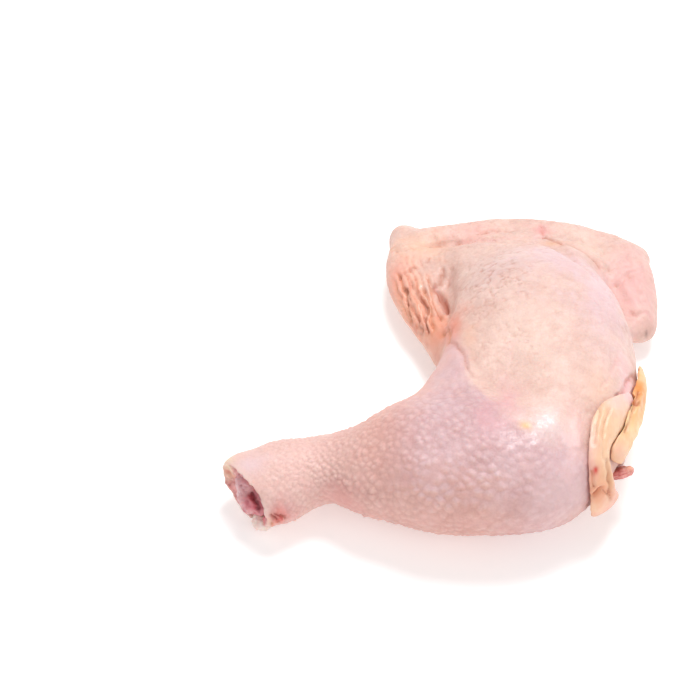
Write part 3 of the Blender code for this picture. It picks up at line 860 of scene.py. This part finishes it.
@dataclass
class Skin:
    """The skinned meat of the leg, with its pores, wrinkles and folds.

    The leg is made under_size smaller than its solid, which leaves room for what stands up from it. The rim
    of the cut is found in rim_slices directions from hock_middle, and no further off than hock_reach.
    """

    grid: float = 0.66
    triangles: int = 196000
    rounds: int = 20
    pores_round: int = 33
    pore_height: float = 0.66
    under_size: float = 0.45
    valley_rounds: int = 24
    hock_middle: tuple[float, float] = (-3.2, 0.0)
    hock_reach: float = 19.0
    rim_slices: int = 48
    wave_spacing: float = 2.4
    net_size: float = 2.8
    dot_spacing: float = 3.1
    folds: tuple[Fold, ...] = SKIN_FOLDS
    torn_folds: tuple[Fold, ...] = TORN_FOLDS
    spots: tuple[Spot, ...] = SKIN_SPOTS
    wet_spots: tuple[Spot, ...] = WET_SPOTS
    flesh_lumps: Rows = FLESH_LUMPS

    def build(self, node: bpy.types.Object) -> bpy.types.Object:
        """Makes the skin from the leg's solid.

        Args:
            node: the leg's solid.

        Returns:
            The finished piece.
        """
        obj = fresh_copy(node, "leg_skin")
        self.fill_cut(obj)
        remesh(obj, self.grid)
        relief = Relief(obj)
        relief.relax(self.rounds, rise(Cut.of(relief.points).out, 0.0, -3.0))
        rim = self.open_hock(relief)
        self.swell(relief)
        colours = spotted(relief.points, self.spots)
        for fold in self.folds:
            fold.press(relief, colours)
        for fold in self.torn_folds:
            fold.press(relief, colours, SLANT)
        wrinkle_shade = self.wrinkle(relief, colours)
        pores = self.pit(relief)
        relief.settle()
        self.tint(relief, rim, colours, wrinkle_shade, pores)
        thin_out(obj, self.triangles)
        place(obj, SkinFinish().material(), "skin", "leg")
        return obj

    def fill_cut(self, obj: bpy.types.Object) -> None:
        """Joins lumps of torn flesh to the hollow in the cut, round the bone's end.

        Args:
            obj: the skin's mesh, before it is evened out.
        """
        lumps = []
        for across, up, out, radius in self.flesh_lumps:
            middle = CUT_MIDDLE + across * CUT_ACROSS + up * CUT_UP + out * CUT_FACING
            deselect()
            bpy.ops.mesh.primitive_ico_sphere_add(
                subdivisions=4, radius=radius * MM, location=(Vector(middle) - Vector(ORIGIN)) * MM
            )
            lumps.append(bpy.context.object)
        pick(obj)
        for lump in lumps:
            lump.select_set(True)
        bpy.ops.object.join()

    def calf_share(self, points: np.ndarray) -> np.ndarray:
        """1 on the drumstick's skin, 0 on the thigh's, with an uneven line between them."""
        side = beside(points[:, :2], spline(SEAM))
        signed = side.distance * (2 * side.left - 1) + 3.5 * cloud(points, 9.0, 3)
        signed += 1.5 * cloud(points, 3.0, 4)
        soft = 2.0 + 6.0 * rise(points[:, 0], 9.0, 26.0)
        return rise(signed / soft, 1.0, -1.0)

    def swell(self, relief: Relief) -> None:
        """Broad unevenness of the flesh under the skin."""
        off_ground = rise(relief.points[:, 2], 0.0, 5.0)
        lumps = 0.55 * cloud(relief.points, 20.0, 1) + 0.3 * cloud(relief.points, 8.0, 2)
        relief.lift((lumps - self.under_size) * off_ground)

    def open_hock(self, relief: Relief) -> np.ndarray:
        """Turns the cut face into torn flesh with the skin standing round it as a thin rim.

        Args:
            relief: the skin's mesh.

        Returns:
            How far each point on the cut lies inside the rim, in millimetres, and -1 off the cut.
        """
        cut = Cut.of(relief.points)
        across, up = cut.across - self.hock_middle[0], cut.up - self.hock_middle[1]
        radius = np.hypot(across, up)
        slices = ((np.arctan2(up, across) + math.pi) / (2 * math.pi) * self.rim_slices).astype(int)
        slices %= self.rim_slices
        face = (cut.out > -0.4) & (radius < self.hock_reach)
        found = np.unique(slices[face])
        # How far the rim lies out each way, as the mean of five slices
        reach = [radius[face & (slices == k)].max() for k in found]
        rim = np.interp(np.arange(-2, self.rim_slices + 2), found, reach, period=self.rim_slices)
        rim = np.convolve(rim, np.ones(5) / 5, "valid")
        inside = rim[slices] - radius
        facing = rise(relief.normals @ CUT_FACING, 0.2, 0.6)
        on_face = facing * rise(cut.out, -8.0, -6.0) * (radius < self.hock_reach)
        torn = 0.6 * cloud(relief.points, 2.4, 7) + 0.8 * cloud(relief.points, 4.5, 8)
        rolled = 0.8 + 0.9 * cloud(relief.points, 4.0, 9) + 0.7 * cloud(relief.points, 2.2, 33)
        ring = rolled * np.exp(-(((inside - 1.0) / 1.0) ** 2))
        sink = 0.5 * rise(inside, 1.6, 3.0) + torn * rise(inside, 1.2, 2.6) - ring
        relief.points -= CUT_FACING * (sink * on_face)[:, None]
        relief.write()
        relief.relax(2, on_face)
        return np.where((on_face > 0.1) & (inside > -0.5), inside, -1.0)

    def wrinkle(self, relief: Relief, colours: np.ndarray) -> np.ndarray:
        """Adds fine wrinkles where the skin is loose.

        Args:
            relief: the skin's mesh.
            colours: the tint at each point, which is changed.

        Returns:
            How deep each point lies in a wrinkle, from 0 to 1, which the material paints as shade.
        """
        points = relief.points
        off_ground = rise(points[:, 2], 0.0, 3.0)
        thigh = 1 - self.calf_share(points)
        loose = covered(points, LOOSE_SKIN)
        edge = beside(points[:, :2], spline(FLAP_EDGE))
        warp = 1.5 * cloud(points, 9.0, 11) + 0.7 * cloud(points, 3.0, 12)
        wave = np.abs(np.sin((edge.distance + warp) * math.pi / self.wave_spacing))
        broken = loose * np.clip(0.7 + 0.7 * cloud(points, 5.0, 10), 0, 1)
        # Painted shade: darker orange in the waves' valleys, over the skin's own reddish folds; painted
        # highlight: paler on their ridges
        lay(colours, np.clip(0.55 * broken * rise(wave, 0.5, 0.05), 0, 1), (214, 112, 84))
        lay(colours, np.clip(0.4 * broken * rise(wave, 0.6, 1.0), 0, 1), (248, 208, 188))
        net = np.abs(cloud(points * (0.75, 1.3, 1.0), self.net_size, 13) + 0.4 * cloud(points, 1.6, 17))
        gate = rise(cloud(points, 3.0, 18), -0.5, 0.3) * rise(cloud(points, 16.0, 14), -1.0, 0.1)
        upper = covered(points, FINE_WRINKLES)
        band = rise(points[:, 1], 72.0, 82.0)
        depth = (0.35 + 0.75 * upper + 0.1 * band) * thigh * gate
        marks = rise(net, 0.2, 0.0) * depth
        relief.lift((0.8 * broken * (wave - 0.5) - 0.5 * marks) * off_ground)
        return np.clip(0.35 * broken * rise(wave, 0.4, 0.0) + 0.45 * marks, 0, 1)

    def pit(self, relief: Relief) -> np.ndarray:
        """Raises the pores in rows that wind round the drumstick, and fainter ones on the thigh.

        Args:
            relief: the skin's mesh.

        Returns:
            How high each point lies on a pore, or how deep between pores where it is negative.
        """
        points = relief.points
        limb = spline(LIMB)
        middle = np.stack([np.interp(points[:, 0], limb[:, 0], limb[:, k]) for k in (1, 2)], axis=1)
        turn = np.arctan2(points[:, 2] - middle[:, 1], middle[:, 0] - points[:, 1])
        steps = np.gradient(limb[:, 0]) * 2 / (limb[:, 3] + limb[:, 4])
        winding = np.interp(points[:, 0], limb[:, 0], np.cumsum(steps))
        lattice = np.stack([winding + turn, winding - turn], axis=1) * self.pores_round / (2 * math.pi)
        sway = np.stack([cloud(points, 11.0, 21), cloud(points, 11.0, 22)], axis=1)
        rows = cells(lattice + 0.5 * sway, shake=0.75, seed=5)
        calf_share = self.calf_share(points)
        calf = calf_share * rise(points[:, 0], -76.0, -52.0) * rise(points[:, 0], 62.0, 50.0)
        crotch = np.linalg.norm((points - (4.0, 14.0, 32.0)) / (16.0, 20.0, 18.0), axis=1)
        calf *= 1 - 0.85 * np.exp(-(crotch**2))
        tilt = 0.35 * points[:, 2]
        plan = np.stack([points[:, 0] + tilt, points[:, 1] - tilt], axis=1)
        turned = plan @ np.array(((0.82, -0.57), (0.57, 0.82)))
        dots = cells(turned / self.dot_spacing + 0.5 * sway, shake=0.8, seed=6)
        upward = rise(np.abs(relief.normals[:, 2]), 0.15, 0.6)
        thigh = (1 - calf_share) * upward * (0.7 + 0.5 * cloud(points, 14.0, 26))
        thigh *= rise(points[:, 2], 1.0, 5.0)
        calf *= (0.8 + 0.5 * cloud(points, 8.0, 23)) * (1 - 0.4 * rise(points[:, 0], 8.0, 40.0))
        height, mark = self.dome(rows)
        low_height, low_mark = self.dome(dots)
        relief.lift(self.pore_height * height * calf + 0.16 * low_height * thigh)
        return mark * calf + 0.5 * low_mark * thigh

    def dome(self, pores: Cells) -> tuple[np.ndarray, np.ndarray]:
        """The shape of one pore in a field of them.

        Args:
            pores: how the points lie among the pores.

        Returns:
            The height of each point as a share, and its mark, which the material paints as a highlight at 1
            on a top and as shade at -1 in the web between.
        """
        bump = np.exp(-((pores.nearest / 0.36) ** 2))
        between = rise(pores.second - pores.nearest, 0.3, 0.0)
        height = bump * (0.4 + 0.8 * pores.lot) - 0.15 * between - 0.2
        return height, 0.8 * bump * (0.3 + 0.9 * pores.lot) - 0.5 * between - 0.25 * (1 - bump)

    def tint(
        self, relief: Relief, inside: np.ndarray, colours: np.ndarray, wrinkle_shade: np.ndarray, pores: np.ndarray
    ) -> None:
        """Leaves the marks that the skin's material reads.

        Args:
            relief: the skin's mesh.
            inside: how far each point on the cut lies inside its rim, and -1 off it.
            colours: the tint at each point.
            wrinkle_shade: how deep each point lies in a wrinkle, which the material paints as shade.
            pores: how high each point lies on a pore.
        """
        points = relief.points
        flesh = rise(inside, 1.0, 2.0)
        ring = rise(inside, -0.6, 0.2) * (1 - flesh)
        lay(colours, 0.5 * ring, (238, 208, 198))
        # Painted shade: how deep a point lies in a valley darkens it, through the crease mark
        deep = relief.hollow(self.valley_rounds)
        calf = self.calf_share(points)
        belly = rise(relief.normals[:, 2] + 0.15 * cloud(points, 8.0, 32), 0.95, 0.45)
        relief.mark(Mark.CALF, calf)
        belly *= 0.45 + 0.55 * rise(points[:, 0], 34.0, 8.0)
        relief.mark(Mark.BELLY, np.maximum(belly, rise(points[:, 0], -4.0, -26.0)))
        relief.mark(Mark.SHANK, rise(points[:, 0] + 5 * cloud(points, 10.0, 31), -16.0, -50.0))
        relief.mark(Mark.CREASE, np.clip(rise(deep, 0.15, 0.9) + wrinkle_shade, 0, 1))
        # The material paints a highlight on the pores' tops and shade between them from this mark
        relief.mark(Mark.PORE, pores * (1 - flesh) * (1 - ring))
        relief.mark(Mark.CUT, flesh)
        relief.mark(Mark.WET, covered(points, *self.wet_spots))
        relief.tint(colours)


@dataclass
class Tissue:
    """A smaller piece of tissue, carved from its solid into lumps that are lump_size wide and lumps high."""

    node: str
    name: str
    slot: str
    finish: TissueFinish
    grid: float
    rounds: int
    lumps: float
    lump_size: float
    spots: tuple[Spot, ...] = ()
    folds: tuple[Fold, ...] = ()
    valley_rounds: int = 12

    def build(self, solid: bpy.types.Object) -> bpy.types.Object:
        """Makes the piece from its solid.

        Args:
            solid: the solid's object.

        Returns:
            The finished piece.
        """
        obj = fresh_copy(solid, self.name)
        remesh(obj, self.grid)
        relief = Relief(obj)
        relief.relax(self.rounds)
        relief.lift(self.lumps * cloud(relief.points, self.lump_size, 41))
        relief.lift(0.4 * self.lumps * cloud(relief.points, self.lump_size * 0.4, 42))
        colours = spotted(relief.points, self.spots, 0.6)
        for fold in self.folds:
            fold.press(relief, colours, SLANT)
        relief.settle()
        # Painted shade: the hollows are darkened through the crease mark
        relief.mark(Mark.CREASE, rise(relief.hollow(self.valley_rounds), 0.05, 0.35))
        relief.tint(colours)
        place(obj, self.finish.material(), self.slot, self.node)
        return obj


BONE_END = Tissue(
    "shank_bone",
    "bone_end",
    "bone",
    TissueFinish("cartilage", srgb(224, 174, 176), srgb(202, 120, 128), srgb(140, 40, 50), grain=3),
    grid=0.4,
    rounds=5,
    lumps=1.1,
    lump_size=3.2,
    spots=(
        Spot((-65.3, -41.8, 14.8), (3, 3, 3), (222, 96, 112), 0.7),
        Spot((-67.8, -41.4, 15.3), (3, 3, 2.2), (206, 110, 122), 0.6),
        Spot((-72.5, -33, 18), (3.5, 4, 4), (222, 178, 182), 0.6),
        Spot((-68.5, -39.3, 17.3), (2, 2, 1.2), (168, 56, 68), 0.6),
        # Painted shade in the cavity over the bone's end, over its deep red
        Spot((-64.6, -42.6, 16.4), (1.1, 1.3, 2.8), DEEP_RED_AND_SHADE, 0.9),
    ),
    folds=(Fold(((-68.4, -16.6), (-67, -18.8), (-65.9, -21.2), (-65, -24.6)), 0.85, 1.3, 0, DEEP_RED_AND_SHADE, 1),),
)
TENDON_END = Tissue(
    "hock_tendon",
    "tendon_end",
    "tendon",
    TissueFinish("tendon", srgb(248, 232, 222), srgb(238, 206, 198), srgb(206, 96, 100), grain=2),
    grid=0.3,
    rounds=6,
    lumps=0.45,
    lump_size=2.5,
    spots=(Spot((-66, -41, 2.5), (3, 3, 1.6), (216, 110, 112), 0.6),),
)
FRONT_FAT = Tissue(
    "fat_front",
    "front_fat",
    "fat_pale",
    TissueFinish(
        "pale_fat", srgb(240, 202, 168), srgb(234, 186, 150), srgb(190, 106, 78), (1, 0.4, 0.6), 4, 0.42
    ),
    grid=0.4,
    rounds=26,
    lumps=0.4,
    lump_size=6.0,
    spots=(
        Spot((61, -11, 39), (6, 6, 8), (240, 204, 190), 0.9),
        Spot((66, -6, 34), (5, 6, 7), (238, 196, 196), 0.95),
        Spot((50, -28, 37), (2.6, 14, 8), (238, 200, 192), 0.8),
        Spot((50, -40, 33), (2.4, 6, 8), (232, 172, 162), 0.8),
        Spot((54, -43, 26), (6, 5, 7), (232, 156, 122), 0.85),
        Spot((58, -41, 13), (8, 6, 8), (234, 166, 148), 0.85),
        Spot((60, -36, 22), (3, 4, 8), (236, 176, 164), 0.8),
        Spot((56.8, -39, 27), (2, 3, 7), (222, 176, 120), 0.5),
        Spot((52.2, -40.3, 35), (0.9, 1.2, 1.5), (206, 34, 22), 1),
    ),
    folds=(
        Fold(((55.2, 13.5), (53.2, 9), (52.2, 4), (51.6, -1)), 0.9, 0.7, 0.5),
        Fold(((59.5, 14.5), (57, 10), (55.6, 5), (55, -1), (55.4, -7)), 0.8, 0.5, 0.5),
        Fold(((56.2, -4), (57, -9), (57.2, -13), (58.6, -18)), 0.8, 1, 0.7, BROWN_SHADE, 0.5),
        Fold(
            ((50.6, -18), (52.4, -16.6), (54.4, -14.8), (57, -16.6), (59.6, -20)), 0.9, 1.2, 0.9, ORANGE, 0.7
        ),
        Fold(((50.4, -8), (50.8, -12), (52, -15)), 0.8, 0.8, 0.5, ORANGE, 0.5),
    ),
)
REAR_FAT = Tissue(
    "fat_rear",
    "rear_fat",
    "fat_yellow",
    TissueFinish(
        "yellow_fat", srgb(248, 210, 164), srgb(240, 190, 138), srgb(176, 92, 40), (1, 0.5, 0.6), 4, 0.42
    ),
    grid=0.4,
    rounds=26,
    lumps=0.5,
    lump_size=5.0,
    spots=(
        Spot((74, 13, 22), (5, 6, 7), (240, 186, 140), 0.7),
        Spot((70, 0.5, 30), (5, 6.5, 6), (230, 140, 64), 0.9),
        Spot((67.8, -8, 32.6), (2.4, 2, 4), (186, 92, 34), 0.8),
        Spot((60.5, -29, 30), (6, 5, 7), (240, 190, 172), 0.8),
    ),
    folds=(
        Fold(((70.5, 19), (69, 16), (67.2, 12), (65.2, 7), (63.4, 3)), 0.9, 0.9, 0.7, BROWN_SHADE, 0.5),
        Fold(((70.6, 14.5), (68.4, 14), (66.4, 14.6)), 0.8, 1, 0.5, BROWN_SHADE, 0.7),
    ),
)
TORN_MEAT = Tissue(
    "meat_tag",
    "torn_meat",
    "meat",
    TissueFinish("red_meat", srgb(234, 158, 148), srgb(204, 92, 90), srgb(126, 30, 38), (0.5, 1, 2.5), 2),
    grid=0.25,
    rounds=4,
    lumps=0.7,
    lump_size=2.2,
    spots=(
        Spot((66, -28, 21), (3, 3, 1.6), (232, 178, 150), 0.7),
        Spot((66.5, -28, 15.5), (3, 3, 2), (236, 168, 168), 0.7),
        Spot((61, -30, 18), (1.6, 2, 4), (140, 34, 40), 0.6),
    ),
)


@dataclass
class Studio:
    """The floor, the soft lights and the camera."""

    elevation: float = 50.0
    lens: float = 135.0
    sensor: float = 36.0
    scale: float = 0.369
    target_height: float = 18.0
    leg_pixel: tuple[float, float] = (440.0, 440.0)
    image: float = 700.0
    floor_size: float = 6.0
    floor_glow: float = 0.3
    sky: float = 0.5

    def camera(self) -> None:
        """Sets the camera so that the photograph's frame is 258 mm wide where the leg lies."""
        up = math.radians(self.elevation)
        distance = self.scale * self.image * self.lens / self.sensor
        x = (self.image / 2 - self.leg_pixel[0]) * self.scale
        rise_in_view = (self.leg_pixel[1] - self.image / 2) * self.scale
        y = (rise_in_view - math.cos(up) * self.target_height) / math.sin(up)
        target = Vector((x, y, self.target_height)) - Vector(ORIGIN)
        back = Vector((0.0, -math.cos(up), math.sin(up)))
        data = bpy.data.cameras.new("camera")
        data.lens = self.lens
        data.sensor_width = self.sensor
        data.clip_start = 0.05
        obj = bpy.data.objects.new("camera", data)
        obj.location = (target + back * distance) * MM
        obj.rotation_euler = (-back).to_track_quat("-Z", "Y").to_euler()
        bpy.context.scene.collection.objects.link(obj)
        bpy.context.scene.camera = obj

    def light(self, name: str, place_m: Triple, size_m: float, power: float) -> None:
        """Adds a soft square lamp that faces the leg."""
        data = bpy.data.lights.new(name, "AREA")
        data.size = size_m
        data.energy = power
        obj = bpy.data.objects.new(name, data)
        obj.location = place_m
        obj.rotation_euler = (-Vector(place_m)).to_track_quat("-Z", "Y").to_euler()
        bpy.context.scene.collection.objects.link(obj)

    def build(self) -> None:
        """Makes the floor, the lights and the camera."""
        deselect()
        bpy.ops.mesh.primitive_plane_add(size=self.floor_size)
        floor = bpy.context.object
        floor.name = "floor"
        paint = Painter("floor")
        white = (0.93, 0.93, 0.93)
        floor.data.materials.append(
            paint.finish(
                Base_Color=white, Roughness=0.9, Emission_Color=white, Emission_Strength=self.floor_glow
            )
        )
        self.light("key", (0.15, 0.45, 1.15), 0.45, 9.8)
        self.light("front_fill", (0.7, -0.9, 0.8), 0.9, 3.8)
        self.light("left_fill", (-1.0, -0.3, 0.8), 0.9, 1.6)
        self.light("glint", (0.36, 0.75, 0.85), 0.16, 0.9)
        world = bpy.data.worlds.new("studio")
        world.use_nodes = True
        backdrop = world.node_tree.nodes["Background"]
        backdrop.inputs["Color"].default_value = (1.0, 0.99, 0.98, 1.0)
        backdrop.inputs["Strength"].default_value = self.sky
        bpy.context.scene.world = world
        bpy.context.scene.view_settings.view_transform = "Standard"
        self.camera()


def main() -> None:
    """Builds the leg's looks around its solids, in order."""
    logging.basicConfig(level=logging.INFO, format="%(name)s: %(message)s")
    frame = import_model()
    nodes = frame["nodes"]
    Skin().build(nodes["leg"])
    for tissue in (BONE_END, TENDON_END, FRONT_FAT, REAR_FAT, TORN_MEAT):
        tissue.build(nodes[tissue.node])
    Studio().build()


if __name__ == "__main__":
    main()
